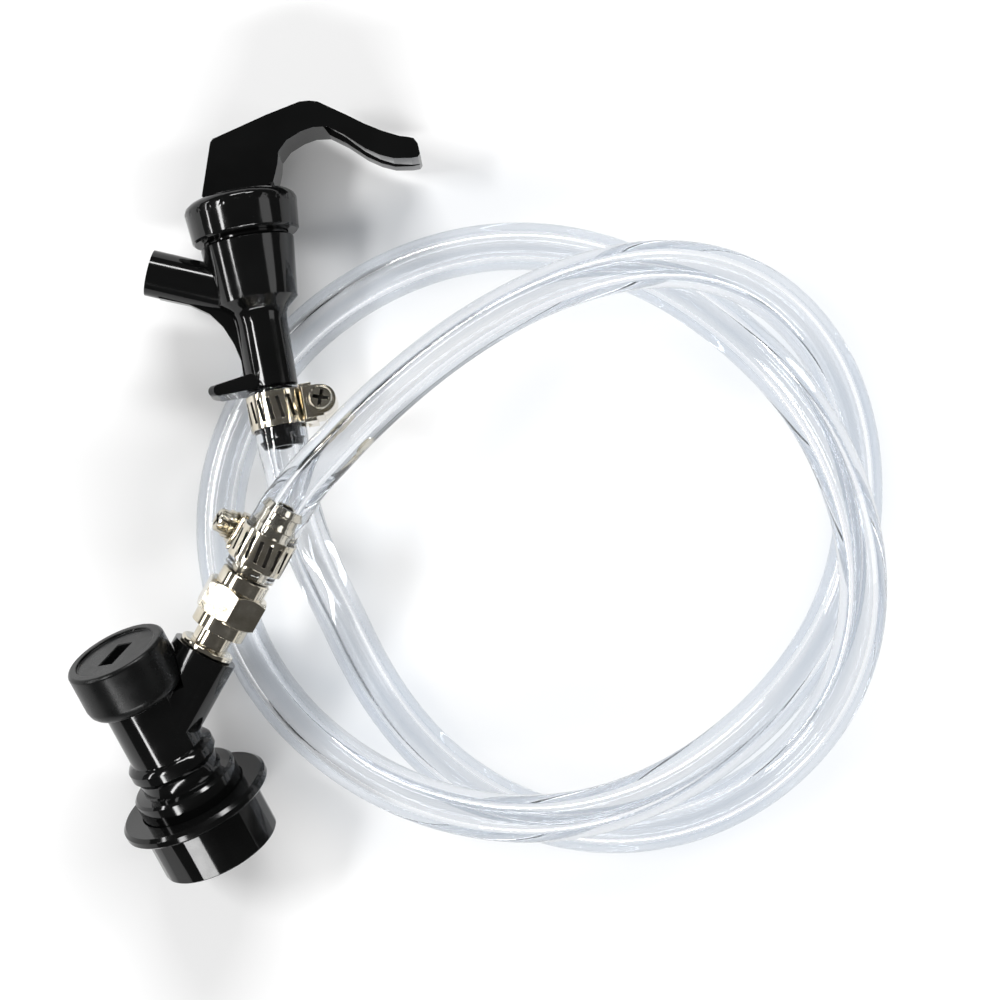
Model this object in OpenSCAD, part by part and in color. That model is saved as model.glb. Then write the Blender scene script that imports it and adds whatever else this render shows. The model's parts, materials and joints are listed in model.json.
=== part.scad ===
// Keg dispensing line: a squeeze tap and a keg post disconnect, joined by a clear hose that lies
// in two loops. Millimetres, +Z up. The origin is on the table, below the middle of the rigid parts.

/* [Hose] */
// Outside diameter of the hose (7/16 in)
hose_d = 11.1; // [9:0.1:14]
// Bore of the hose (3/16 in)
hose_bore_d = 4.8; // [3:0.1:8]
// How far the hose swells where a barb fills it
hose_swell = 0.5; // [0:0.1:1]
// Flat sides of the hose solid
hose_sides = 12; // [8:1:12]

/* [Tap] */
// Place of the ring edge on the tap axis
tap_at = [-1.9, 65.7, 13.14]; // [-200:0.1:200]
// Turn of the tap about the vertical
tap_turn = 10.6; // [-180:0.1:180]
// Rise of the tap towards its hose end
tap_rise = 7; // [0:0.5:15]
// Outside diameter of the bonnet ring at its top
bonnet_d = 26.4; // [20:0.1:34]
// Height of the bonnet ring
bonnet_h = 9.3; // [6:0.1:14]
// Outside diameter of the shank
shank_d = 12; // [10:0.1:16]
// Outside diameter of the spout
spout_d = 10.8; // [8:0.1:14]
// Bore of the spout
spout_bore_d = 8.6; // [6:0.1:10]
// Length of the spout from the tap axis
spout_l = 25.6; // [18:0.1:40]
// Length of the wide part of the spout bore
spout_socket = 12; // [6:0.5:16]
// Angle between the spout and the lever end of the tap axis
spout_angle = 66; // [45:1:90]
// Width of the lever
lever_w = 14; // [10:0.5:20]

/* [Disconnect] */
// Place of the skirt end on the disconnect axis
disconnect_at = [-6.4, -82.6, 13.2]; // [-200:0.1:200]
// Turn of the disconnect about the vertical
disconnect_turn = 116.4; // [-180:0.1:180]
// Rise of the disconnect towards its cap
disconnect_rise = 20.4; // [0:0.1:45]
// Angle between the outlet port and the disconnect axis
port_angle = 55.7; // [45:0.1:90]
// Roll of the outlet port about the disconnect axis
port_roll = -84.5; // [-180:0.1:180]
// Length of the outlet port from the disconnect axis
port_l = 22.2; // [16:0.1:30]
// Outside diameter of the outlet port
port_d = 15.4; // [12:0.1:18]
// Diameter of the keg post that the socket takes
post_d = 19.5; // [18:0.1:21]
// Outside diameter of the collar skirt
skirt_d = 28.4; // [26:0.1:34]
// Outside diameter of the collar flange
flange_d = 36; // [30:0.1:44]
// Travel of the locking collar
collar_travel = 4; // [3:0.1:5]
// Outside diameter of the cap
cap_d = 24.2; // [20:0.1:30]
// Height of the cap
cap_h = 12.5; // [8:0.1:18]
// Diameter of a lock ball
ball_d = 3; // [2:0.1:4]

/* [Fitting] */
// Hexagon of the swivel nut, across its flats
nut_flats = 14; // [12:0.5:18]
// Diameter of the nut collar
nut_collar_d = 12.9; // [12:0.1:15]
// Diameter of the flare thread (7/16 in)
thread_d = 11; // [10:0.1:12]
// Bore through the metal fittings
fitting_bore_d = 4; // [3:0.1:5]
// Largest diameter of a hose barb
barb_d = 7; // [5.5:0.1:8]

/* [Clamps] */
// Width of a clamp band
band_w = 8; // [6:0.5:10]
// Thickness of a clamp band
band_t = 0.6; // [0.4:0.1:0.9]
// Slots pressed in a clamp band
band_slots = 18; // [12:1:26]
// Diameter of a clamp screw
clamp_screw_d = 5.2; // [4:0.1:6]

/* [Hidden] */
// Room between parts that move past each other
clear = 0.3;
// Room of a turning or sliding fit, on the radius
fit = 0.05;
// Overlap that makes a cut open cleanly
cut = 0.2;

// Facets of round shapes, and of the rounded shapes that go into a hull
$fn = 64;
hull_fn = 32;

// Heights along the tap axis, from the ring edge towards the lever
ring_top = 2.1;
ring_bottom = ring_top - bonnet_h;
plate_t = 2;
body_top = ring_top - plate_t - 0.3;
barrel_end = -24.7;
shank_end = -43.5;
barb_end = -57;
spout_root = -21.5;
seat_height = -24.3;
pin_height = 9.5;
clamp_1_height = -48.5;

// Radii inside the tap
chamber_r = 6.6;
tap_stem_r = 2.9;
pin_r = 1.5;
lever_block_bottom = 2.5;
draft_angle = 13;

// Distances along the disconnect axis, from the skirt end towards the cap
skirt_h = 12.3;
flange_top = 15;
sleeve_bottom = 0.5;
socket_end = 13;
ring_end = 20;
port_root = 32.3;
cap_bottom = 42.5;
cap_top = cap_bottom + cap_h;
tube_top = 50;
ball_height = 5;
// Relief groove round the lock balls, between the socket's mouth land and its inner land
groove_start = 3.3;
groove_end = 6.7;

// Radii inside the disconnect
socket_r = post_d / 2 + fit;
sleeve_r = 11.6;
body_ring_r = 12.5;
tube_r = 9;
poppet_chamber_r = 6.6;
groove_r = 10.1;
ball_at = 10.5;
spring_pocket_r = 13;

// Distances along the port axis, from the port mouth towards the hose
nut_start = 5.5;
hex_start = 8.7;
hex_end = 16.3;
nut_end = 20.1;
hose_start = 20.7;
clamp_2_height = 26.8;
stem_end = 38;
adapter_end = 12.4;
swivel_r = 3.7;

// Where the worm screw of a clamp lies, from the hose axis
worm_at = 10.7;
band_r = hose_d / 2 + hose_swell + 0.1;

// Free run of the hose, from the disconnect fitting to the tap
hose_run = [
    [18.2, 6.9, 31.3], [31, 20.2, 27.6], [50, 35.8, 22], [73, 47.8, 18.4], [98, 52.6, 16.5],
    [120.3, 46.2, 11.6], [136.6, 27.5, 6.4], [142, 2.2, 5.6], [138.8, -22, 5.6], [127.2, -43.3, 5.7],
    [109.4, -60.2, 10], [88, -71.6, 15.8], [65, -75.6, 17.3], [41, -71.8, 13.4], [19, -60.5, 6.4],
    [3, -43.2, 5.6], [-6, -20.8, 5.6], [-6.2, 3.2, 5.6], [4.5, 27.7, 5.6], [23, 45, 5.6],
    [45.5, 55.2, 5.6], [70, 57, 5.6], [94.2, 49.8, 5.6], [114.8, 35.4, 6.4], [130.5, 17, 13.2],
    [139.8, -5.8, 17.2], [141.8, -29.6, 16.2], [134.2, -52, 11], [116.6, -70, 5.8], [92.5, -78.6, 5.6],
    [68, -76.6, 5.6], [46, -64.6, 5.6], [30, -46.2, 5.6], [19.3, -24, 9.8], [12.4, -5, 18]
];

// ---------- frames ----------

// The tap's own frame: Z runs along the tap towards the lever, and the lever points to +X
module tap_frame() {
    translate(tap_at) rotate([-90 - tap_rise, 0, tap_turn]) children();
}

// The disconnect's own frame: Z runs along the axis from the skirt to the cap
module disconnect_frame() {
    translate(disconnect_at) rotate([0, 90 - disconnect_rise, disconnect_turn]) children();
}

// The port's own frame: Z runs out of the port mouth, with the mouth at zero
module port_frame() {
    disconnect_frame()
        translate([0, 0, port_root])
            rotate([0, 0, port_roll])
                rotate([0, port_angle, 0])
                    translate([0, 0, port_l]) children();
}

// ---------- shared shapes ----------

// A tube or a solid of revolution about Z, from an outline of radius and height
module turned(outline) {
    rotate_extrude() polygon(outline);
}

// A rubber or wire ring about Z
module ring(mean_r, wire_r) {
    rotate_extrude() translate([mean_r, 0]) circle(r = wire_r, $fn = 24);
}

// One ring of points about a path point, square to the direction of the path
function across(p, dir, r, sides) =
    let (side = unit(cross(dir, [0, 0, 1])), up = cross(side, dir))
    [for (k = [0 : sides - 1]) p + r * (cos(360 * k / sides) * side + sin(360 * k / sides) * up)];
function unit(v) = v / norm(v);

// The direction of a path at its point i
function along(path, i) = unit(path[min(i + 1, len(path) - 1)] - path[max(i - 1, 0)]);

// A closed round bar swept along a path, with its own radius at each point
module swept_bar(path, radii, sides) {
    last = len(path) - 1;
    points = [for (i = [0 : last]) each across(path[i], along(path, i), radii[i], sides)];
    walls = [for (i = [0 : last - 1], k = [0 : sides - 1])
        let (n = (k + 1) % sides)
        each [[i * sides + k, i * sides + n, (i + 1) * sides + n],
              [i * sides + k, (i + 1) * sides + n, (i + 1) * sides + k]]];
    ends = [[for (k = [sides - 1 : -1 : 0]) k], [for (k = [0 : sides - 1]) last * sides + k]];
    polyhedron(points, concat(walls, ends), convexity = 10);
}

// A coil spring about Z, with its first and last turns closed up
module coil_spring(mean_r, wire_r, height, turns, steps = 14) {
    pitch = (height - 4 * wire_r) / (turns - 2);
    function climb(t) = t < 1 ? 2 * wire_r * t * 0.95
        : t > turns - 1 ? height - 2 * wire_r - 2 * wire_r * (turns - t) * 0.95
        : 1.9 * wire_r + (t - 1) * (height - 5.8 * wire_r) / (turns - 2);
    path = [for (k = [0 : turns * steps])
        let (t = k / steps)
        [mean_r * cos(360 * t), mean_r * sin(360 * t), wire_r + climb(t)]];
    swept_bar(path, [for (p = path) wire_r], 5);
}

// A hose barb: teeth that rise towards the root, from z = 0 to its tip
module barb(length, teeth) {
    step = length / teeth;
    root_r = barb_d / 2 - 0.55;
    cylinder(h = length, r = root_r);
    for (k = [1 : teeth])
        translate([0, 0, k * step - 1.9])
            cylinder(h = 1.9, r1 = barb_d / 2, r2 = root_r);
}

// Moves a point of the port or tap axis into the object's frame
function turn_z(p, a) = [p.x * cos(a) - p.y * sin(a), p.x * sin(a) + p.y * cos(a), p.z];
function turn_y(p, a) = [p.x * cos(a) + p.z * sin(a), p.y, p.z * cos(a) - p.x * sin(a)];
function turn_x(p, a) = [p.x, p.y * cos(a) - p.z * sin(a), p.y * sin(a) + p.z * cos(a)];
function on_tap(z) = tap_at + turn_z(turn_x([0, 0, z], -90 - tap_rise), tap_turn);
function on_port(z) =
    let (local = turn_z(turn_y([0, 0, port_l + z], port_angle), port_roll) + [0, 0, port_root])
    disconnect_at + turn_z(turn_y(local, 90 - disconnect_rise), disconnect_turn);

// ---------- tap ----------

// The barrel, shank, barb, spout, web and finger rest of the tap are one moulding
module tap_body() {
    color([0.05, 0.05, 0.055]) tap_frame() difference() {
        union() {
            turned([[0, body_top], [9.6, body_top], [9.6, -8.2], [10.3, -8.2], [10.9, -8.8],
                [9.4, -22.5], [6.8, barrel_end], [shank_d / 2 + 0.2, -26], [shank_d / 2, -28],
                [shank_d / 2 - 0.2, -42.8], [shank_d / 2 - 0.9, shank_end], [0, shank_end]]);
            translate([0, 0, shank_end]) mirror([0, 0, 1]) barb(shank_end - barb_end, 4);
            translate([0, 0, spout_root]) rotate([0, -spout_angle, 0])
                cylinder(h = spout_l, d = spout_d);
            tap_web();
            finger_rest();
        }
        tap_chamber();
    }
}

// The water way of the tap: barrel chamber, inlet with its raised seat, and spout bore
module tap_chamber() {
    difference() {
        translate([0, 0, barrel_end]) cylinder(h = body_top - barrel_end + cut, r = chamber_r - 0.3);
        translate([0, 0, barrel_end - cut]) cylinder(h = seat_height - barrel_end + cut, r = 3.2);
    }
    translate([0, 0, barb_end - cut]) cylinder(h = 40, d = fitting_bore_d);
    translate([0, 0, spout_root]) rotate([0, -spout_angle, 0]) {
        translate([0, 0, 4]) cylinder(h = spout_l, d = spout_bore_d - 1.4);
        translate([0, 0, spout_l - spout_socket]) cylinder(h = spout_l, d = spout_bore_d);
        translate([0, 0, spout_l - 0.5]) cylinder(h = 1, d1 = spout_bore_d, d2 = spout_bore_d + 1);
    }
}

// The thin web below the spout
module tap_web() {
    translate([0, 1.4, 0]) rotate([90, 0, 0]) linear_extrude(2.8)
        polygon([[-4, -15], [-22.8, -16.4], [-22.2, -17.6], [-15.6, -20.4], [-11.3, -23.5],
            [-8.8, -27], [-7, -31.5], [-6.1, -35.5], [-6.2, -39], [-4, -39]]);
}

// The finger rest that stands out from the shank
module finger_rest() {
    hull() {
        translate([-4.5, 0, -41.4]) rotate([90, 0, 0])
            cylinder(h = 11, r = 1.8, center = true, $fn = hull_fn);
        translate([-12, 0, -41.8]) rotate([90, 0, 0])
            cylinder(h = 9, r = 1.35, center = true, $fn = hull_fn);
        translate([-13.4, 0, -41.6]) rotate([90, 0, 0])
            cylinder(h = 6, r = 1.3, center = true, $fn = hull_fn);
    }
}

// The ring nut that closes the barrel, with shallow grip facets
module bonnet_ring() {
    top_r = bonnet_d / 2;
    color([0.05, 0.05, 0.055]) tap_frame() difference() {
        turned([[tap_stem_r + fit, ring_top - plate_t], [9.9, ring_top - plate_t],
            [9.9, ring_bottom], [12, ring_bottom], [12.5, ring_bottom + 0.5],
            [top_r, ring_top - 1.8], [top_r - 0.4, ring_top - 0.8], [top_r - 1.4, ring_top],
            [tap_stem_r + fit, ring_top]]);
        for (k = [0 : 23])
            rotate([0, 0, 15 * k]) translate([top_r + 1.85, 0, ring_bottom - cut])
                cylinder(h = bonnet_h - 2.2, r = 2, $fn = 24);
    }
}

// The side outline of the lever, in the plane of the tap axis
lever_outline = [[-8, 2.9], [-7.6, lever_block_bottom], [5, lever_block_bottom], [7, 2.5], [8.8, 3.3],
    [9.6, 5], [10.6, 7.5], [11.2, 10], [13.5, 12.2], [17, 13.6], [20, 14.1], [23.3, 13.6],
    [27, 10.8], [31, 6.9], [34, 4.8], [37, 3.4], [41, 2.7], [42.6, 2.7], [43.2, 3.4], [43.1, 5.8],
    [42.4, 7.2], [41, 7.8], [39.3, 8.3], [35.5, 10.3], [31.8, 12.7], [28, 15.6], [24.1, 18.4],
    [22.2, 19.8], [20.3, 20.4], [18, 20.6], [10, 19], [2, 17], [-3.2, 15.7], [-3.9, 15]];

// The slot for the stem, wide enough at its mouth for the lever's swing
stem_slot = [[-4.2, lever_block_bottom - cut], [7.8, lever_block_bottom - cut], [5.2, 9], [5.2, 13.7],
    [-4.2, 13.7]];

// The lever: a block on the stem pin, and a bent arm
module tap_lever() {
    half = lever_w / 2;
    color([0.05, 0.05, 0.055]) tap_frame() difference() {
        translate([0, half, 0]) rotate([90, 0, 0]) linear_extrude(lever_w) polygon(lever_outline);
        translate([0, tap_stem_r + clear, 0]) rotate([90, 0, 0])
            linear_extrude(2 * (tap_stem_r + clear)) polygon(stem_slot);
        translate([0, half + cut, pin_height]) rotate([90, 0, 0])
            cylinder(h = lever_w - 1.5, r = pin_r + fit);
        lever_draft(half);
    }
}

// The draft of the arm's underside, which starts from nothing at the arch and opens towards the tip
module lever_draft(half) {
    from = [23, -half, 13.6];
    to = [42.6, 1, 2.7];
    translate(from) rotate(a = draft_angle, v = to - from) translate(-from)
        translate([0, 2, 0]) rotate([90, 0, 0]) linear_extrude(14)
            polygon([[22.4, 13.7], [23.3, 13.6], [27, 10.8], [31, 6.9], [34, 4.8], [37, 3.4], [41, 2.7],
                [46, 2.7], [46, -8], [22.4, -8]]);
}

// The pin that joins the lever to the stem, in a hole that is blind on the -Y side
module lever_pin() {
    color([0.7, 0.7, 0.7]) tap_frame() translate([0, lever_w / 2 - 0.4, pin_height])
        rotate([90, 0, 0]) cylinder(h = lever_w - 2.3, r = pin_r);
}

// The stem that carries the seat cup
module tap_stem() {
    color([0.75, 0.75, 0.72]) tap_frame() difference() {
        union() {
            translate([0, 0, seat_height + 2]) cylinder(h = pin_height + 2.6 - seat_height - 2,
                r = tap_stem_r);
            translate([0, 0, seat_height + 4.6]) cylinder(h = 1.2, r = 5.4);
        }
        translate([0, 5, pin_height]) rotate([90, 0, 0]) cylinder(h = 10, r = pin_r);
    }
}

// The O-ring that seals the stem below the bonnet plate
module stem_seal() {
    color([0.02, 0.02, 0.02]) tap_frame() translate([0, 0, ring_top - plate_t - 1.2])
        ring(tap_stem_r + 0.9, 0.85);
}

// The washer that holds the O-ring and seats the spring
module stem_guide() {
    color([0.85, 0.85, 0.82]) tap_frame() translate([0, 0, -4]) difference() {
        cylinder(h = 1.4, r = chamber_r - 0.35);
        translate([0, 0, -cut]) cylinder(h = 2, r = tap_stem_r + clear);
    }
}

// The rubber cup that closes the inlet
module seat_cup() {
    color([0.03, 0.03, 0.03]) tap_frame() translate([0, 0, seat_height + clear])
        turned([[0, 0], [3.9, 0], [4.4, 0.5], [4.4, 3.6], [3.4, 4.3], [tap_stem_r, 4.3],
            [tap_stem_r, 1.7], [0, 1.7]]);
}

// The spring that closes the tap
module tap_spring() {
    bottom = seat_height + 5.9;
    color([0.7, 0.7, 0.7]) tap_frame() translate([0, 0, bottom])
        coil_spring(4.55, 0.45, -4.1 - bottom, 6);
}

// ---------- hose clamps ----------

// A band about Z with pressed slots, doubled under the worm housing on +X
module clamp_band() {
    outer = band_r + band_t;
    difference() {
        union() {
            cylinder(h = band_w, r = outer, center = true);
            intersection() {
                cylinder(h = band_w, r = outer + band_t, center = true);
                translate([3, -7, -band_w]) cube([8, 14, 2 * band_w]);
            }
        }
        cylinder(h = band_w + 2 * cut, r = band_r, center = true);
        for (k = [2 : band_slots - 2])
            rotate([0, 0, 360 * k / band_slots]) translate([band_r + 0.15 + 1, 0, 0])
                rotate([8, 0, 0]) cube([2, 0.85, 0.66 * band_w], center = true);
    }
}

// The housing that holds the worm screw over the band
module clamp_housing() {
    hood_r = clamp_screw_d / 2 + 0.75;
    saddle = band_r + 2 * band_t;
    difference() {
        union() {
            translate([worm_at, 6, 0]) rotate([90, 0, 0]) cylinder(h = 9.2, r = hood_r);
            translate([worm_at - 4.1, -3.2, -band_w / 2 + 0.3]) cube([4.1, 9.2, band_w - 0.6]);
            translate([worm_at - 4.8, -3.6, -band_w / 2 - 0.5]) cube([3, 9, 1]);
            translate([worm_at - 4.8, -3.6, band_w / 2 - 0.5]) cube([3, 9, 1]);
        }
        translate([worm_at, 6 + cut, 0]) rotate([90, 0, 0])
            cylinder(h = 10, r = clamp_screw_d / 2 + fit);
        cylinder(h = 2 * band_w, r = saddle, center = true);
    }
}

// The worm screw: a grooved shank, a flange and a round head with a cross recess
module clamp_screw() {
    r = clamp_screw_d / 2;
    translate([worm_at, 0, 0]) rotate([90, 0, 0]) difference() {
        union() {
            translate([0, 0, -6.6]) cylinder(h = 12.9, r = r);
            translate([0, 0, -7.2]) cylinder(h = 0.9, r = r + 0.75);
            translate([0, 0, -9.2]) cylinder(h = 2.4, r = r + 0.2);
            translate([0, 0, -9.6]) cylinder(h = 0.5, r1 = r - 0.2, r2 = r + 0.2);
        }
        for (k = [0 : 7])
            translate([0, 0, -4.6 + 1.4 * k]) rotate_extrude()
                polygon([[r - 0.5, 0.35], [r + 0.2, 0], [r + 0.2, 0.7]]);
        for (a = [0, 90])
            rotate([0, 0, a + 20]) translate([-1.9, -0.45, -9.8]) cube([3.8, 0.9, 1.7]);
    }
}

// The clamp on the tap: its housing stands on +X and its head faces -Y
module tap_clamp_frame() {
    tap_frame() translate([0, 0, clamp_1_height]) rotate([180, 0, 0]) children();
}

// The clamp on the disconnect's hose end: its housing hangs below, its head faces -X
module port_clamp_frame() {
    port_frame() translate([0, 0, clamp_2_height]) rotate([0, 0, 90]) children();
}

module clamp_band_1() { color([0.7, 0.7, 0.68]) tap_clamp_frame() clamp_band(); }
module clamp_housing_1() { color([0.7, 0.7, 0.68]) tap_clamp_frame() clamp_housing(); }
module clamp_screw_1() { color([0.75, 0.75, 0.73]) tap_clamp_frame() clamp_screw(); }
module clamp_band_2() { color([0.7, 0.7, 0.68]) port_clamp_frame() clamp_band(); }
module clamp_housing_2() { color([0.7, 0.7, 0.68]) port_clamp_frame() clamp_housing(); }
module clamp_screw_2() { color([0.75, 0.75, 0.73]) port_clamp_frame() clamp_screw(); }

// ---------- hose ----------

// A smooth point between b and c, on the curve through a, b, c and d
function between(a, b, c, d, t) =
    0.5 * (2 * b + (c - a) * t + (2 * a - 5 * b + 4 * c - d) * t * t
        + (3 * b - a - 3 * c + d) * t * t * t);

// Keeps a point of the hose's middle line at least half a hose above the table
function on_table(p) = [p.x, p.y, max(p.z, hose_d / 2)];

// The whole hose, from the nut to the tap shank
module hose() {
    knots = concat([on_port(hose_start), on_port(stem_end - 5)], hose_run,
        [on_tap(barb_end - 1), on_tap(shank_end)]);
    last = len(knots) - 1;
    path = concat([for (i = [0 : last - 1], t = [0, 0.5])
        on_table(between(knots[max(i - 1, 0)], knots[i], knots[i + 1], knots[min(i + 2, last)], t))],
        [knots[last]]);
    reach = len(path) - 1;
    radii = [for (i = [0 : reach]) hose_d / 2 + (i < 2 || i > reach - 2 ? hose_swell : 0)];
    color([0.85, 0.88, 0.92, 0.5]) swept_bar(path, radii, hose_sides);
}

// ---------- metal fitting on the disconnect ----------

// The threaded adapter in the port mouth: flange, neck, thread and flare
module outlet_adapter() {
    r = thread_d / 2;
    color([0.62, 0.6, 0.55]) port_frame() difference() {
        union() {
            translate([0, 0, -3.2]) cylinder(h = 3.4, r = 5.15);
            turned([[0, 0], [nut_collar_d / 2 - 0.3, 0], [nut_collar_d / 2, 0.3],
                [nut_collar_d / 2, 1.2], [nut_collar_d / 2 - 0.3, 1.5], [0, 1.5]]);
            cylinder(h = 6, r = 4.3);
            turned([[0, 5.8], [r - 0.5, 5.8], [r, 6.2], [r, 10.4], [r - 2, adapter_end],
                [0, adapter_end]]);
        }
        for (k = [0 : 2])
            translate([0, 0, 6.9 + 1.25 * k]) rotate_extrude()
                polygon([[r - 0.5, 0.35], [r + 0.2, 0], [r + 0.2, 0.7]]);
        translate([0, 0, -3.2 - cut]) cylinder(h = 20, d = fitting_bore_d);
    }
}

// The soft washer between the flare and the barbed stem
module flare_washer() {
    color([0.9, 0.9, 0.88]) port_frame() translate([0, 0, adapter_end + 0.05]) difference() {
        cylinder(h = 0.7, r = 4.6);
        translate([0, 0, -cut]) cylinder(h = 2, d = fitting_bore_d);
    }
}

// The barbed stem that the nut holds and the hose covers
module barb_stem() {
    collar = adapter_end + 0.8;
    color([0.68, 0.67, 0.63]) port_frame() difference() {
        union() {
            translate([0, 0, collar]) cylinder(h = 2.2, r = 5.3);
            translate([0, 0, collar]) cylinder(h = hose_start - collar, r = swivel_r);
            translate([0, 0, hose_start]) barb(stem_end - hose_start, 5);
        }
        translate([0, 0, collar - cut]) cylinder(h = 30, d = fitting_bore_d);
    }
}

// The swivel nut: two round collars and a hexagon with turned corners
module swivel_nut() {
    across_corners = nut_flats / cos(30);
    color([0.66, 0.64, 0.6]) port_frame() difference() {
        union() {
            translate([0, 0, nut_start]) cylinder(h = hex_start - nut_start, d = nut_collar_d);
            intersection() {
                translate([0, 0, hex_start]) rotate([0, 0, 19])
                    cylinder(h = hex_end - hex_start, d = across_corners, $fn = 6);
                turned([[0, hex_start], [nut_flats / 2 - 0.1, hex_start], [across_corners / 2 + 0.1,
                    hex_start + 0.9], [across_corners / 2 + 0.1, hex_end - 0.9],
                    [nut_flats / 2 - 0.1, hex_end], [0, hex_end]]);
            }
            turned([[0, hex_end - 0.1], [5.9, hex_end - 0.1], [5.9, nut_end - 0.6],
                [5.3, nut_end], [0, nut_end]]);
        }
        translate([0, 0, nut_start - cut]) cylinder(h = adapter_end + 3.4 - nut_start + cut,
            r = thread_d / 2 + 0.3);
        translate([0, 0, nut_start]) cylinder(h = 20, r = swivel_r + fit);
    }
}

// ---------- disconnect ----------

// The body: socket sleeve, ring, waist, bead, tube and outlet port
module disconnect_body() {
    color([0.05, 0.05, 0.055]) disconnect_frame() difference() {
        union() {
            turned([[0, sleeve_bottom], [sleeve_r - 0.4, sleeve_bottom],
                [sleeve_r, sleeve_bottom + 0.4], [sleeve_r, socket_end], [body_ring_r, socket_end],
                [body_ring_r, ring_end - 0.6], [body_ring_r - 0.6, ring_end], [9.7, ring_end + 0.3],
                [9.5, 21], [9.5, 23.2], [9.9, 24], [10.5, 24.8], [10.5, 26.8], [10, 27.5],
                [tube_r, 28.2], [tube_r, tube_top - 0.5], [tube_r - 0.5, tube_top], [0, tube_top]]);
            translate([0, 0, port_root]) rotate([0, 0, port_roll]) rotate([0, port_angle, 0])
                cylinder(h = port_l, d = port_d);
        }
        translate([0, 0, sleeve_bottom - cut]) cylinder(h = socket_end - sleeve_bottom + cut,
            r = socket_r);
        translate([0, 0, groove_start]) cylinder(h = groove_end - groove_start, r = groove_r);
        translate([0, 0, socket_end - cut]) cylinder(h = 3.2, r = 6);
        translate([0, 0, socket_end]) cylinder(h = 10, r = 2.4 + 0.4);
        translate([0, 0, ring_end]) cylinder(h = tube_top, r = poppet_chamber_r);
        for (k = [0 : 3])
            rotate([0, 0, 45 + 90 * k]) translate([8, 0, ball_height]) rotate([0, 90, 0])
                cylinder(h = 6, r = ball_d / 2 + fit);
        translate([0, 0, port_root]) rotate([0, 0, port_roll]) rotate([0, port_angle, 0]) {
            translate([0, 0, port_l - 3.4]) cylinder(h = 5, r = 5.2);
        }
        translate([0, 0, port_root - 1.5]) rotate([0, 0, port_roll]) rotate([0, port_angle, 0])
            cylinder(h = port_l - 2, d = fitting_bore_d - 0.6);
        difference() {
            translate([0, 0, cap_bottom - clear]) cylinder(h = cap_h + 4, d = cap_d + 2 * clear);
            cylinder(h = tube_top + 1, r = tube_r + 0.05);
        }
    }
}

// The cap: rounded rim, sunk face and driver slot
module top_cap() {
    r = cap_d / 2;
    slot_turn = 141;
    color([0.07, 0.07, 0.075]) disconnect_frame() difference() {
        turned([[0, cap_bottom], [r - 2.2, cap_bottom], [r - 1, cap_bottom + 0.5],
            [r - 0.3, cap_bottom + 1.5], [r, cap_bottom + 2.8], [r, cap_top - 0.6],
            [r - 0.6, cap_top], [0, cap_top]]);
        translate([0, 0, cap_bottom - cut]) cylinder(h = tube_top + 1 - cap_bottom + cut,
            r = tube_r + 0.1);
        translate([0, 0, cap_top - 0.6]) cylinder(h = 1, r = 9.75);
        translate([0, 0, cap_top - 1.2]) rotate([0, 0, slot_turn])
            cube([8.6, 4.2, 3.4], center = true);
    }
}

// The gasket between the cap and the tube
module cap_gasket() {
    color([0.03, 0.03, 0.03]) disconnect_frame() translate([0, 0, tube_top]) cylinder(h = 0.95, r = 8.8);
}

// The poppet: push pin, head and spring guide
module poppet() {
    color([0.72, 0.7, 0.66]) disconnect_frame()
        turned([[0, 9.8], [1.8, 9.8], [2.4, 10.6], [2.4, 20.6], [3.2, 20.6], [3.2, 22.2],
            [5.6, 22.2], [5.6, 24.6], [2.2, 24.6], [2.2, 33], [1.6, 33.8], [0, 33.8]]);
}

// The O-ring under the poppet head
module poppet_seal() {
    color([0.02, 0.02, 0.02]) disconnect_frame() translate([0, 0, 21.25]) ring(4.15, 0.95);
}

// The spring that closes the poppet
module poppet_spring() {
    color([0.7, 0.7, 0.7]) disconnect_frame() translate([0, 0, 24.8])
        coil_spring(4, 0.3, tube_top - 25, 7);
}

// The sliding collar: skirt with shallow grip flats, flange, and a coned land that backs the balls
module lock_collar() {
    skirt_r = skirt_d / 2;
    flange_r = flange_d / 2;
    color([0.05, 0.05, 0.055]) disconnect_frame() difference() {
        turned([[13.45, 0], [skirt_r - 0.3, 0], [skirt_r, 0.3], [skirt_r, skirt_h - 0.8],
            [skirt_r + 0.8, skirt_h], [flange_r - 0.7, skirt_h], [flange_r, skirt_h + 0.6],
            [flange_r, flange_top - 0.8], [flange_r - 0.8, flange_top],
            [body_ring_r + clear, flange_top], [body_ring_r + clear, 13.2],
            [spring_pocket_r, 13], [spring_pocket_r, 6.4], [11.95, 6.4], [11.95, 6]]);
        for (k = [0 : 11])
            rotate([0, 0, 30 * k + 15]) translate([skirt_r - 0.12, -6, -cut])
                cube([2, 12, skirt_h - 1]);
    }
}

// The spring that pushes the collar back over the balls
module collar_spring() {
    color([0.7, 0.7, 0.7]) disconnect_frame() translate([0, 0, 6.5])
        coil_spring(12.3, 0.35, socket_end - 6.7, 3, 26);
}

// A lock ball in its hole, by number
module lock_ball(k) {
    color([0.8, 0.8, 0.8]) disconnect_frame() rotate([0, 0, 45 + 90 * (k - 1)])
        translate([ball_at, 0, ball_height]) sphere(d = ball_d);
}
module lock_ball_1() { lock_ball(1); }
module lock_ball_2() { lock_ball(2); }
module lock_ball_3() { lock_ball(3); }
module lock_ball_4() { lock_ball(4); }

tap_body();
bonnet_ring();
tap_lever();
lever_pin();
tap_stem();
stem_seal();
stem_guide();
seat_cup();
tap_spring();
clamp_band_1();
clamp_housing_1();
clamp_screw_1();
clamp_band_2();
clamp_housing_2();
clamp_screw_2();
hose();
barb_stem();
swivel_nut();
flare_washer();
outlet_adapter();
disconnect_body();
top_cap();
cap_gasket();
poppet();
poppet_seal();
poppet_spring();
lock_collar();
collar_spring();
lock_ball_1();
lock_ball_2();
lock_ball_3();
lock_ball_4();
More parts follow.
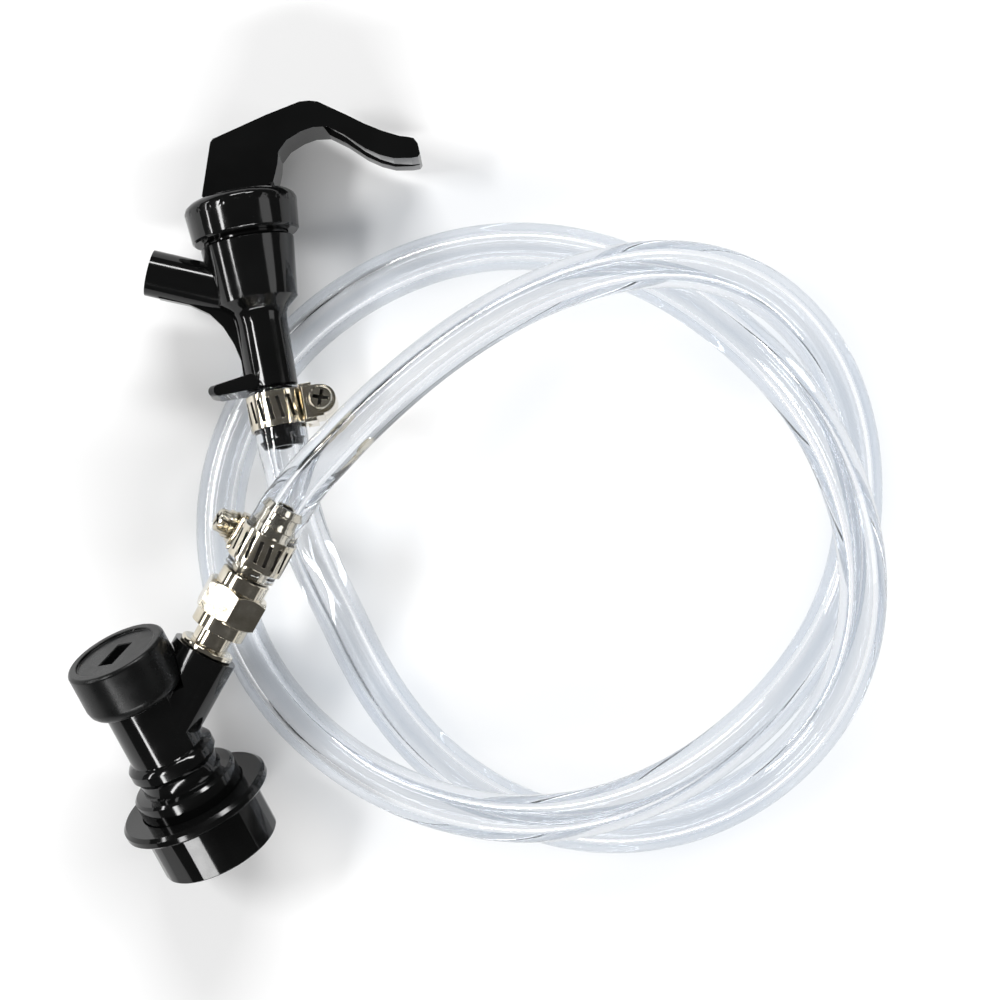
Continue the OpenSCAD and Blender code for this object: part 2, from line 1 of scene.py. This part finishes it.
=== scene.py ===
"""A keg dispensing line: squeeze tap, clear looped hose, clamps, nut and keg post disconnect.

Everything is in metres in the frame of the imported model: +Z up, the table at z = 0.
"""
import json
import math

import bmesh
import bpy
from mathutils import Matrix, Vector


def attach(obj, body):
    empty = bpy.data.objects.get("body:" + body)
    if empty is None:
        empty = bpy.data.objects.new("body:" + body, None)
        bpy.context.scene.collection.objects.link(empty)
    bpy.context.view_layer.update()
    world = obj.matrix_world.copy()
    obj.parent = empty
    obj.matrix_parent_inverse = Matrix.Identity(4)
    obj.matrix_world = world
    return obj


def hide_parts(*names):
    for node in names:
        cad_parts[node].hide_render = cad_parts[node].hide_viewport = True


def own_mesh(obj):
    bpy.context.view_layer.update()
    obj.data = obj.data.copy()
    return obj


MM = 0.001

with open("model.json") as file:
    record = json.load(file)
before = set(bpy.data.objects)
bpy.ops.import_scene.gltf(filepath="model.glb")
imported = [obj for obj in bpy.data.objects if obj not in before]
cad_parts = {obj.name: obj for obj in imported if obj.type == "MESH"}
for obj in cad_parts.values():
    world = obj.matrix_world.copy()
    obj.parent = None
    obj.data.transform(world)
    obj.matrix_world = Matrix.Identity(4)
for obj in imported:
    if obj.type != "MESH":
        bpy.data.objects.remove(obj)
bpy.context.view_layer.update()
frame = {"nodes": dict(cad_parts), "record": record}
NODES = frame["nodes"]

# ---------- sizes and places that the visible pieces share with the model ----------

HOSE_D = 11.1 * MM
HOSE_BORE_D = 4.8 * MM
TAP_AT = Vector((-1.9, 65.7, 13.14)) * MM
TAP_TURN = math.radians(10.6)
TAP_RISE = math.radians(7)
DISCONNECT_AT = Vector((-6.4, -82.6, 13.2)) * MM
DISCONNECT_TURN = math.radians(116.4)
DISCONNECT_RISE = math.radians(20.4)
PORT_ROOT = 32.3 * MM
PORT_ANGLE = math.radians(55.7)
PORT_ROLL = math.radians(-84.5)
PORT_L = 22.2 * MM
HOSE_START = 20.7 * MM
STEM_END = 38 * MM
SHANK_END = -43.5 * MM
BARB_END = -57 * MM
CLAMP_1_HEIGHT = -48.5 * MM
CLAMP_2_HEIGHT = 26.8 * MM
WORM_AT = 10.7 * MM

# how the hose's path is made: end knots, points per knot, spacings, averaging passes, leads
KNOT_BEFORE_STEM_END = 5 * MM
KNOT_PAST_BARB_END = 1 * MM
CURVE_STEPS = 40
COARSE_SPACING = 1.6 * MM
FINE_SPACING = 1.25 * MM
RELAX_PASSES = 120
RELAX_PASSES_HEIGHT = 30
LEAD_START = 4 * MM
PORT_LEAD_END = 36 * MM
TAP_LEAD_END = 60 * MM

# how the hose's wall is made: its swell over the barbs, fading out past their ends
HOSE_SIDES = 48
HOSE_SWELL = 0.55 * MM
TOOTH_DEPTH = 0.22 * MM
FADE_BEFORE = 2 * MM
FADE_AFTER = 5 * MM
PORT_TEETH = 5
TAP_TEETH = 4
UV_LENGTH = 0.1

# where the hose's centre line runs between its two fittings
HOSE_RUN_MM = [
    (18.2, 6.9, 31.3), (31, 20.2, 27.6), (50, 35.8, 22), (73, 47.8, 18.4),
    (98, 52.6, 16.5), (120.3, 46.2, 11.6), (136.6, 27.5, 6.4), (142, 2.2, 5.6),
    (138.8, -22, 5.6), (127.2, -43.3, 5.7), (109.4, -60.2, 10), (88, -71.6, 15.8),
    (65, -75.6, 17.3), (41, -71.8, 13.4), (19, -60.5, 6.4), (3, -43.2, 5.6),
    (-6, -20.8, 5.6), (-6.2, 3.2, 5.6), (4.5, 27.7, 5.6), (23, 45, 5.6),
    (45.5, 55.2, 5.6), (70, 57, 5.6), (94.2, 49.8, 5.6), (114.8, 35.4, 6.4),
    (130.5, 17, 13.2), (139.8, -5.8, 17.2), (141.8, -29.6, 16.2), (134.2, -52, 11),
    (116.6, -70, 5.8), (92.5, -78.6, 5.6), (68, -76.6, 5.6), (46, -64.6, 5.6),
    (30, -46.2, 5.6), (19.3, -24, 9.8), (12.4, -5, 18),
]


def tap_frame():
    """The tap's own frame: +Z along its axis towards the lever."""
    return (Matrix.Translation(TAP_AT) @ Matrix.Rotation(TAP_TURN, 4, "Z")
            @ Matrix.Rotation(-math.pi / 2 - TAP_RISE, 4, "X"))


def disconnect_frame():
    """The disconnect's own frame: +Z along its axis towards the cap."""
    return (Matrix.Translation(DISCONNECT_AT) @ Matrix.Rotation(DISCONNECT_TURN, 4, "Z")
            @ Matrix.Rotation(math.pi / 2 - DISCONNECT_RISE, 4, "Y"))


def port_frame():
    """The port's own frame: +Z out of its mouth, which is at zero."""
    return (disconnect_frame() @ Matrix.Translation((0, 0, PORT_ROOT))
            @ Matrix.Rotation(PORT_ROLL, 4, "Z") @ Matrix.Rotation(PORT_ANGLE, 4, "Y")
            @ Matrix.Translation((0, 0, PORT_L)))


# ---------- camera ----------

CAMERA_HEIGHT = 0.9
VIEW_WIDTH = 0.2353
VIEW_CENTRE = (0.0582, -0.0020)


def make_camera():
    """Looks straight down at the table, as wide as the whole line."""
    data = bpy.data.cameras.new("camera")
    data.sensor_width = 36
    data.lens = data.sensor_width * CAMERA_HEIGHT / VIEW_WIDTH
    data.clip_start = 0.05
    data.clip_end = 20
    camera = bpy.data.objects.new("camera", data)
    camera.location = (VIEW_CENTRE[0], VIEW_CENTRE[1], CAMERA_HEIGHT)
    bpy.context.scene.collection.objects.link(camera)
    bpy.context.scene.camera = camera


make_camera()

# ---------- node helpers ----------


def new_material(name):
    """A new material, its node tree and its main shader."""
    material = bpy.data.materials.new(name)
    material.use_nodes = True
    tree = material.node_tree
    shader = tree.nodes["Principled BSDF"]
    return material, tree, shader


def add(tree, kind, **sockets):
    """A new node with its input sockets set by name."""
    node = tree.nodes.new(kind)
    for name, value in sockets.items():
        node.inputs[name.replace("_", " ")].default_value = value
    return node


def noise(tree, scale, detail, roughness=0.55):
    """Noise in the object's own coordinates."""
    coords = tree.nodes.new("ShaderNodeTexCoord")
    texture = add(tree, "ShaderNodeTexNoise", Scale=scale, Detail=detail, Roughness=roughness)
    tree.links.new(coords.outputs["Object"], texture.inputs["Vector"])
    return texture


def ramp(tree, source, low, high, dark, light):
    """Maps a grey value between low and high to two colours or grey levels."""
    node = tree.nodes.new("ShaderNodeValToRGB")
    node.color_ramp.elements[0].position = low
    node.color_ramp.elements[1].position = high
    node.color_ramp.elements[0].color = (*dark, 1)
    node.color_ramp.elements[1].color = (*light, 1)
    tree.links.new(source, node.inputs["Fac"])
    return node.outputs["Color"]


def grey(value):
    return (value, value, value)


def bump(tree, shader, height, strength, distance):
    node = add(tree, "ShaderNodeBump", Strength=strength, Distance=distance)
    tree.links.new(height, node.inputs["Height"])
    tree.links.new(node.outputs["Normal"], shader.inputs["Normal"])


# ---------- materials ----------


PALE_CLOUDS = 1.7
PEEL_DEPTH = 0.012 * MM


def black_plastic(name, base, low_rough, high_rough, specular):
    """Moulded black plastic: faint orange peel and slightly uneven gloss."""
    material, tree, shader = new_material(name)
    shader.inputs["IOR"].default_value = 1.5
    shader.inputs["Specular IOR Level"].default_value = specular
    cloud = noise(tree, 90, 4)
    paler = [c * PALE_CLOUDS for c in base]
    tree.links.new(ramp(tree, cloud.outputs["Fac"], 0.3, 0.7, base, paler),
                   shader.inputs["Base Color"])
    smear = noise(tree, 220, 5)
    tree.links.new(ramp(tree, smear.outputs["Fac"], 0.35, 0.7, grey(low_rough), grey(high_rough)),
                   shader.inputs["Roughness"])
    skin = noise(tree, 900, 2)
    bump(tree, shader, skin.outputs["Fac"], 0.12, PEEL_DEPTH)
    return material


def metal(name, dark, light, low_rough, high_rough, depth=0.01):
    """Bright metal with a fine grain and a cloudy tint."""
    material, tree, shader = new_material(name)
    shader.inputs["Metallic"].default_value = 1
    cloud = noise(tree, 160, 5)
    tree.links.new(ramp(tree, cloud.outputs["Fac"], 0.35, 0.65, dark, light),
                   shader.inputs["Base Color"])
    grain = noise(tree, 400, 6, 0.7)
    tree.links.new(ramp(tree, grain.outputs["Fac"], 0.3, 0.7, grey(low_rough), grey(high_rough)),
                   shader.inputs["Roughness"])
    bump(tree, shader, grain.outputs["Fac"], 0.25, depth * MM)
    return material


def rubber(name):
    material, tree, shader = new_material(name)
    cloud = noise(tree, 300, 4)
    dark, light = (0.008, 0.008, 0.008), (0.02, 0.02, 0.02)
    tree.links.new(ramp(tree, cloud.outputs["Fac"], 0.3, 0.7, dark, light),
                   shader.inputs["Base Color"])
    shader.inputs["Roughness"].default_value = 0.55
    bump(tree, shader, cloud.outputs["Fac"], 0.2, 0.02 * MM)
    return material


def nylon(name):
    material, tree, shader = new_material(name)
    cloud = noise(tree, 200, 3)
    dark, light = (0.68, 0.67, 0.62), (0.78, 0.77, 0.73)
    tree.links.new(ramp(tree, cloud.outputs["Fac"], 0.3, 0.7, dark, light),
                   shader.inputs["Base Color"])
    shader.inputs["Roughness"].default_value = 0.4
    shader.inputs["Subsurface Weight"].default_value = 0.1
    bump(tree, shader, cloud.outputs["Fac"], 0.1, 0.02 * MM)
    return material


def pass_lamp_light(tree, shader):
    """Lets lamp light through to what lies behind the clear wall."""
    rays = tree.nodes.new("ShaderNodeLightPath")
    through = add(tree, "ShaderNodeBsdfTransparent", Color=(0.97, 0.975, 0.98, 1))
    mix = tree.nodes.new("ShaderNodeMixShader")
    either = tree.nodes.new("ShaderNodeMath")
    either.operation = "MAXIMUM"
    tree.links.new(rays.outputs["Is Shadow Ray"], either.inputs[0])
    tree.links.new(rays.outputs["Is Diffuse Ray"], either.inputs[1])
    tree.links.new(either.outputs[0], mix.inputs["Fac"])
    tree.links.new(shader.outputs["BSDF"], mix.inputs[1])
    tree.links.new(through.outputs["BSDF"], mix.inputs[2])
    tree.links.new(mix.outputs["Shader"], tree.nodes["Material Output"].inputs["Surface"])


def clear_vinyl(name):
    """Clear flexible hose: a faint cool tint, and fine lines along it from extrusion."""
    material, tree, shader = new_material(name)
    shader.inputs["Transmission Weight"].default_value = 1
    shader.inputs["IOR"].default_value = 1.5
    coords = tree.nodes.new("ShaderNodeTexCoord")
    mapping = add(tree, "ShaderNodeMapping", Scale=(22, 0.3, 1))
    lines = add(tree, "ShaderNodeTexNoise", Scale=1.0, Detail=2, Roughness=0.5)
    tree.links.new(coords.outputs["UV"], mapping.inputs["Vector"])
    tree.links.new(mapping.outputs["Vector"], lines.inputs["Vector"])
    dark, light = (0.935, 0.943, 0.955), (0.99, 0.99, 0.992)
    tree.links.new(ramp(tree, lines.outputs["Fac"], 0.3, 0.7, dark, light),
                   shader.inputs["Base Color"])
    tree.links.new(ramp(tree, lines.outputs["Fac"], 0.3, 0.75, grey(0.0), grey(0.03)),
                   shader.inputs["Roughness"])
    bump(tree, shader, lines.outputs["Fac"], 0.08, 0.03 * MM)
    pass_lamp_light(tree, shader)
    tint = add(tree, "ShaderNodeVolumeAbsorption", Color=(0.86, 0.885, 0.915, 1), Density=110)
    tree.links.new(tint.outputs["Volume"], tree.nodes["Material Output"].inputs["Volume"])
    return material


def painted_shade_finish(name):
    """Painted shade: a near-black, rough finish that stands in for the shade inside pressed slots
    and recesses.
    """
    material, tree, shader = new_material(name)
    cloud = noise(tree, 500, 4)
    dark, light = (0.004, 0.0035, 0.003), (0.02, 0.017, 0.012)
    tree.links.new(ramp(tree, cloud.outputs["Fac"], 0.3, 0.7, dark, light),
                   shader.inputs["Base Color"])
    shader.inputs["Roughness"].default_value = 0.7
    shader.inputs["Specular IOR Level"].default_value = 0.2
    bump(tree, shader, cloud.outputs["Fac"], 0.3, 0.02 * MM)
    return material


PLASTIC = (0.0022, 0.0023, 0.0023)
COLLAR_PLASTIC = (0.0024, 0.0025, 0.0025)
CAP_PLASTIC = (0.003, 0.0032, 0.0032)
PLATING = (0.5, 0.45, 0.35), (0.74, 0.69, 0.59)
CLAMP_STEEL = (0.5, 0.45, 0.35), (0.76, 0.71, 0.61)
SCREW_STEEL = (0.52, 0.47, 0.36), (0.78, 0.73, 0.62)
PLAIN_STEEL = (0.5, 0.49, 0.46), (0.68, 0.67, 0.64)
SPRING_STEEL = (0.45, 0.44, 0.42), (0.62, 0.61, 0.58)

MATERIALS = {
    # painted shade: a near-black finish laid on the clamp band slots and the screw heads' recess,
    # where they lie in shade
    "painted_slot_shade": painted_shade_finish("painted_slot_shade_look"),
    "black_plastic": black_plastic("black_plastic_look", PLASTIC, 0.07, 0.13, 0.35),
    "collar_plastic": black_plastic("collar_plastic_look", COLLAR_PLASTIC, 0.08, 0.14, 0.25),
    "cap_plastic": black_plastic("cap_plastic_look", CAP_PLASTIC, 0.24, 0.34, 0.2),
    "nickel": metal("nickel_look", *PLATING, 0.08, 0.17, depth=0.002),
    "clamp_steel": metal("clamp_steel_look", *CLAMP_STEEL, 0.09, 0.2, depth=0.005),
    "screw_steel": metal("screw_steel_look", *SCREW_STEEL, 0.1, 0.2, depth=0.004),
    "steel": metal("steel_look", *PLAIN_STEEL, 0.2, 0.34),
    "spring_steel": metal("spring_steel_look", *SPRING_STEEL, 0.22, 0.36),
    "black_rubber": rubber("black_rubber_look"),
    "white_plastic": nylon("white_plastic_look"),
    "clear_hose": clear_vinyl("clear_hose_look"),
}

# ---------- the hose ----------


def hose_knots():
    """The points that the hose's centre line passes through, from the port to the tap."""
    port, tap = port_frame(), tap_frame()
    start = [port @ Vector((0, 0, HOSE_START)),
             port @ Vector((0, 0, STEM_END - KNOT_BEFORE_STEM_END))]
    end = [tap @ Vector((0, 0, BARB_END - KNOT_PAST_BARB_END)),
           tap @ Vector((0, 0, SHANK_END))]
    return start + [Vector(p) * MM for p in HOSE_RUN_MM] + end


def smooth_path(knots, steps):
    """Points on the smooth curve through the knots, never lower than a hose on the table."""
    last = len(knots) - 1
    path = []
    for i in range(last):
        a, b, c, d = knots[max(i - 1, 0)], knots[i], knots[i + 1], knots[min(i + 2, last)]
        for k in range(steps):
            t = k / steps
            path.append(0.5 * (2 * b + (c - a) * t + (2 * a - 5 * b + 4 * c - d) * t ** 2
                               + (3 * b - a - 3 * c + d) * t ** 3))
    path.append(knots[last].copy())
    for p in path:
        p.z = max(p.z, HOSE_D / 2)
    return path


def evened(path, spacing):
    """The same path with points at even distances."""
    out, left = [path[0]], spacing
    for a, b in zip(path, path[1:]):
        gap = (b - a).length
        while gap > left:
            a = a + (b - a) * (left / gap)
            out.append(a)
            gap, left = (b - a).length, spacing
        left -= gap
    out.append(path[-1])
    return out


def averaged(path, passes):
    """The path after repeated averaging of each point with its neighbours, ends kept."""
    for _ in range(passes):
        path = ([path[0]] + [(a + 2 * b + c) / 4 for a, b, c in zip(path, path[1:], path[2:])]
                + [path[-1]])
    return path


def relaxed(path):
    """The path with even bends, loops about as wide as before and straight leads at its ends."""
    once_xy = averaged(path, RELAX_PASSES)
    twice_xy = averaged(once_xy, RELAX_PASSES)
    once_z = averaged(path, RELAX_PASSES_HEIGHT)
    twice_z = averaged(once_z, RELAX_PASSES_HEIGHT)
    run = lengths(path)
    port, tap = port_frame(), tap_frame()
    out = []
    for i in range(len(path)):
        soft = 2 * once_xy[i] - twice_xy[i]
        soft.z = max(2 * once_z[i].z - twice_z[i].z, HOSE_D / 2)
        from_end = run[-1] - run[i]
        if run[i] < from_end:
            straight = port @ Vector((0, 0, HOSE_START + run[i]))
            free = ease(run[i], LEAD_START, PORT_LEAD_END)
        else:
            straight = tap @ Vector((0, 0, SHANK_END - from_end))
            free = ease(from_end, LEAD_START, TAP_LEAD_END)
        out.append(straight.lerp(soft, free))
    return out


def lengths(path):
    """The distance run along the path at each of its points."""
    run = [0.0]
    for a, b in zip(path, path[1:]):
        run.append(run[-1] + (b - a).length)
    return run


def ease(x, low, high):
    """0 below low, 1 above high, smooth between."""
    t = min(max((x - low) / (high - low), 0), 1)
    return t * t * (3 - 2 * t)


def wall_radii(from_end, barb_l, teeth):
    """Outer and inner radius of the hose at a distance from its nearer end."""
    on_barb = 1 - ease(from_end, barb_l - FADE_BEFORE, barb_l + FADE_AFTER)
    tooth = (from_end / barb_l * teeth) % 1 if from_end < barb_l else 0
    outer = HOSE_D / 2 + on_barb * (HOSE_SWELL - TOOTH_DEPTH * tooth)
    return outer, HOSE_BORE_D / 2


def tube_mesh(name, path, radii, sides):
    """A tube with an outer and an inner wall and flat ends; UV runs round and along it."""
    run = lengths(path)
    mesh = bmesh.new()
    uv = mesh.loops.layers.uv.new("UVMap")
    tangent = (path[1] - path[0]).normalized()
    side = tangent.cross(Vector((0, 0, 1))).normalized()
    walls = ([], [])
    for i, point in enumerate(path):
        ahead = path[min(i + 1, len(path) - 1)] - path[max(i - 1, 0)]
        turned = ahead.normalized()
        side = (side - turned * side.dot(turned)).normalized()
        up = turned.cross(side)
        for wall, radius in zip(walls, radii[i]):
            wall.append([mesh.verts.new(point + radius * (math.cos(a) * side + math.sin(a) * up))
                         for a in (2 * math.pi * k / sides for k in range(sides))])

    def face(corners, places):
        made = mesh.faces.new(corners)
        made.smooth = True
        for loop, place in zip(made.loops, places):
            loop[uv].uv = place

    for w, wall in enumerate(walls):
        for i in range(len(path) - 1):
            for k in range(sides):
                n = (k + 1) % sides
                u0, u1 = k / sides, (k + 1) / sides
                v0, v1 = run[i] / UV_LENGTH, run[i + 1] / UV_LENGTH
                corners = [wall[i][k], wall[i][n], wall[i + 1][n], wall[i + 1][k]]
                places = [(u0, v0), (u1, v0), (u1, v1), (u0, v1)]
                if w:
                    corners.reverse()
                    places.reverse()
                face(corners, places)
    for i, turn_back in ((0, True), (len(path) - 1, False)):
        for k in range(sides):
            n = (k + 1) % sides
            corners = [walls[0][i][k], walls[0][i][n], walls[1][i][n], walls[1][i][k]]
            if turn_back:
                corners.reverse()
            face(corners, [(0, 0)] * 4)
    bmesh.ops.recalc_face_normals(mesh, faces=mesh.faces)
    data = bpy.data.meshes.new(name)
    mesh.to_mesh(data)
    mesh.free()
    piece = bpy.data.objects.new(name, data)
    bpy.context.scene.collection.objects.link(piece)
    return piece


def make_hose():
    coarse = evened(smooth_path(hose_knots(), CURVE_STEPS), COARSE_SPACING)
    path = evened(relaxed(coarse), FINE_SPACING)
    run = lengths(path)
    total = run[-1]
    port_barb, tap_barb = STEM_END - HOSE_START, SHANK_END - BARB_END
    radii = []
    for s in run:
        if s < total / 2:
            radii.append(wall_radii(s, port_barb, PORT_TEETH))
        else:
            radii.append(wall_radii(total - s, tap_barb, TAP_TEETH))
    piece = tube_mesh("clear_hose", path, radii, HOSE_SIDES)
    piece.data.materials.append(MATERIALS["clear_hose"])
    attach(piece, "line")
    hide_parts("hose")
    return piece


make_hose()

# ---------- CAD nodes with rounded edges ----------

WELD_DISTANCE = 0.002 * MM
FLAT_ANGLE = math.radians(0.4)
SHARP_ANGLE = math.radians(32)
BEVEL_SEGMENTS = 2

SLOT_OF = {entry["node"]: entry["material_slot"] for entry in frame["record"]["subparts"]}
BODY_OF = {node: body for body, members in frame["record"]["behaviour"]["bodies"].items()
           for node in members}


def clamp_frames():
    """The two clamps' own frames: +Z along the hose, the worm on +X."""
    tap_clamp = (tap_frame() @ Matrix.Translation((0, 0, CLAMP_1_HEIGHT))
                 @ Matrix.Rotation(math.pi, 4, "X"))
    port_clamp = (port_frame() @ Matrix.Translation((0, 0, CLAMP_2_HEIGHT))
                  @ Matrix.Rotation(math.pi / 2, 4, "Z"))
    return tap_clamp, port_clamp


def screw_frame(clamp):
    """The worm screw's own frame: its head faces -Z."""
    return clamp @ Matrix.Translation((WORM_AT, 0, 0)) @ Matrix.Rotation(math.pi / 2, 4, "X")


BAND_SLOTS_MM = ((6.22, 6.7), (-2.9, 2.9))
HEAD_RECESS_MM = ((0, 2.2), (-9.5, -8.0))
TAP_CLAMP, PORT_CLAMP = clamp_frames()
# faces of these pieces within these ranges get the painted shade, standing in for the shade in
# the band slots and the head recess
HOLLOWS = {
    "clamp_band_1": (TAP_CLAMP, BAND_SLOTS_MM),
    "clamp_band_2": (PORT_CLAMP, BAND_SLOTS_MM),
    "clamp_screw_1": (screw_frame(TAP_CLAMP), HEAD_RECESS_MM),
    "clamp_screw_2": (screw_frame(PORT_CLAMP), HEAD_RECESS_MM),
}


def paint_shade_in_hollows(data, place, ranges_mm):
    """Gives the faces in a range of radius and height, in the piece's own frame, the painted
    shade finish.
    """
    data.materials.append(MATERIALS["painted_slot_shade"])
    inward = place.inverted()
    (near, far), (low, high) = ranges_mm
    for face in data.polygons:
        at = (inward @ face.center) / MM
        if near < math.hypot(at.x, at.y) < far and low < at.z < high:
            face.material_index = 1


def own_piece(node, data):
    """A piece with this mesh that stands for the node and takes its body and finish."""
    piece = bpy.data.objects.new(node + "_shape", data)
    bpy.context.scene.collection.objects.link(piece)
    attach(piece, BODY_OF[node])
    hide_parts(node)
    return piece


def refined(node, radius_mm):
    """The node's own shape with its edges rounded, in place of the sharp-edged solid."""
    mesh = bmesh.new()
    mesh.from_mesh(NODES[node].data)
    bmesh.ops.remove_doubles(mesh, verts=mesh.verts, dist=WELD_DISTANCE)
    bmesh.ops.dissolve_limit(mesh, angle_limit=FLAT_ANGLE, verts=mesh.verts, edges=mesh.edges)
    data = bpy.data.meshes.new(node + "_shape")
    mesh.to_mesh(data)
    mesh.free()
    data.shade_smooth()
    data.set_sharp_from_angle(angle=SHARP_ANGLE)
    data.materials.clear()
    data.materials.append(MATERIALS[SLOT_OF[node]])
    if node in HOLLOWS:
        paint_shade_in_hollows(data, *HOLLOWS[node])
    piece = own_piece(node, data)
    edge = piece.modifiers.new("round edges", "BEVEL")
    edge.width = radius_mm * MM
    edge.segments = BEVEL_SEGMENTS
    edge.limit_method = "ANGLE"
    edge.angle_limit = SHARP_ANGLE
    edge.use_clamp_overlap = True
    edge.harden_normals = True
    piece.modifiers.new("even shading", "WEIGHTED_NORMAL").keep_sharp = True
    return piece


def sprung(node):
    """The spring's own shape as a piece of its own, in place of the node, with its finish."""
    data = NODES[node].data.copy()
    data.materials.clear()
    data.materials.append(MATERIALS[SLOT_OF[node]])
    piece = own_piece(node, data)
    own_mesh(piece)


SPRINGS = {
    "tap_spring": (tap_frame(), "stem_lift"),
    "collar_spring": (disconnect_frame(), "collar_lift"),
    "poppet_spring": (disconnect_frame(), "poppet_lift"),
}
EDGE_RADII_MM = {
    "tap_body": 0.35, "bonnet_ring": 0.25, "tap_lever": 0.5, "clamp_housing_1": 0.25,
    "clamp_housing_2": 0.25, "clamp_screw_1": 0.12, "clamp_screw_2": 0.12, "clamp_band_1": 0.06,
    "clamp_band_2": 0.06, "swivel_nut": 0.25, "outlet_adapter": 0.15, "barb_stem": 0.15,
    "disconnect_body": 0.3, "top_cap": 0.3, "lock_collar": 0.3,
}
for node_name, edge_radius in EDGE_RADII_MM.items():
    refined(node_name, edge_radius)
for node_name, (spring_frame, spring_joint) in SPRINGS.items():
    sprung(node_name)

for node_name, cad in NODES.items():
    if node_name in EDGE_RADII_MM or node_name in SPRINGS or node_name == "hose":
        continue
    cad.data.materials.clear()
    cad.data.materials.append(MATERIALS[SLOT_OF[node_name]])

# ---------- table, light ----------


TABLE_REACH = 3.0
TABLE_DROP = 0.2 * MM


def make_floor():
    """A wide pale table, a hair below zero so that no part's face lies in it."""
    mesh = bpy.data.meshes.new("table")
    corners = ((-1, -1), (1, -1), (1, 1), (-1, 1))
    mesh.from_pydata([(x * TABLE_REACH, y * TABLE_REACH, 0) for x, y in corners],
                     [], [(0, 1, 2, 3)])
    table = bpy.data.objects.new("table", mesh)
    table.location.z = -TABLE_DROP
    bpy.context.scene.collection.objects.link(table)
    material, tree, shader = new_material("table_look")
    shader.inputs["Base Color"].default_value = (0.9, 0.9, 0.9, 1)
    shader.inputs["Roughness"].default_value = 0.9
    shader.inputs["Specular IOR Level"].default_value = 0.1
    mesh.materials.append(material)


def area_light(name, at, size, power):
    """A rectangular soft light at a point, aimed at the middle of the view."""
    data = bpy.data.lights.new(name, "AREA")
    data.shape = "RECTANGLE"
    data.size, data.size_y = size
    data.energy = power
    light = bpy.data.objects.new(name, data)
    light.location = at
    aim = Vector((VIEW_CENTRE[0], VIEW_CENTRE[1], 0)) - Vector(at)
    light.rotation_euler = aim.to_track_quat("-Z", "Y").to_euler()
    bpy.context.scene.collection.objects.link(light)


def make_light():
    """Soft lights round the table, as place, size and power, and a dim even surround."""
    area_light("left_low_strip", (-1.8, 0.1, 0.62), (1.4, 0.12), 12)
    area_light("left_high_strip", (-1.41, 0.32, 1.61), (0.7, 0.26), 18)
    area_light("right_box", (2.0, 0.3, 1.5), (1.2, 1.0), 8)
    area_light("far_strip", (0.0, 2.1, 1.5), (1.8, 0.3), 48)
    area_light("near_strip", (0.2, -2.2, 1.5), (2.2, 0.25), 48)

    world = bpy.data.worlds.new("studio")
    world.use_nodes = True
    world.node_tree.nodes["Background"].inputs["Color"].default_value = (1, 1, 1, 1)
    world.node_tree.nodes["Background"].inputs["Strength"].default_value = 0.1
    bpy.context.scene.world = world
    bpy.context.scene.view_settings.view_transform = "Standard"


make_floor()
make_light()
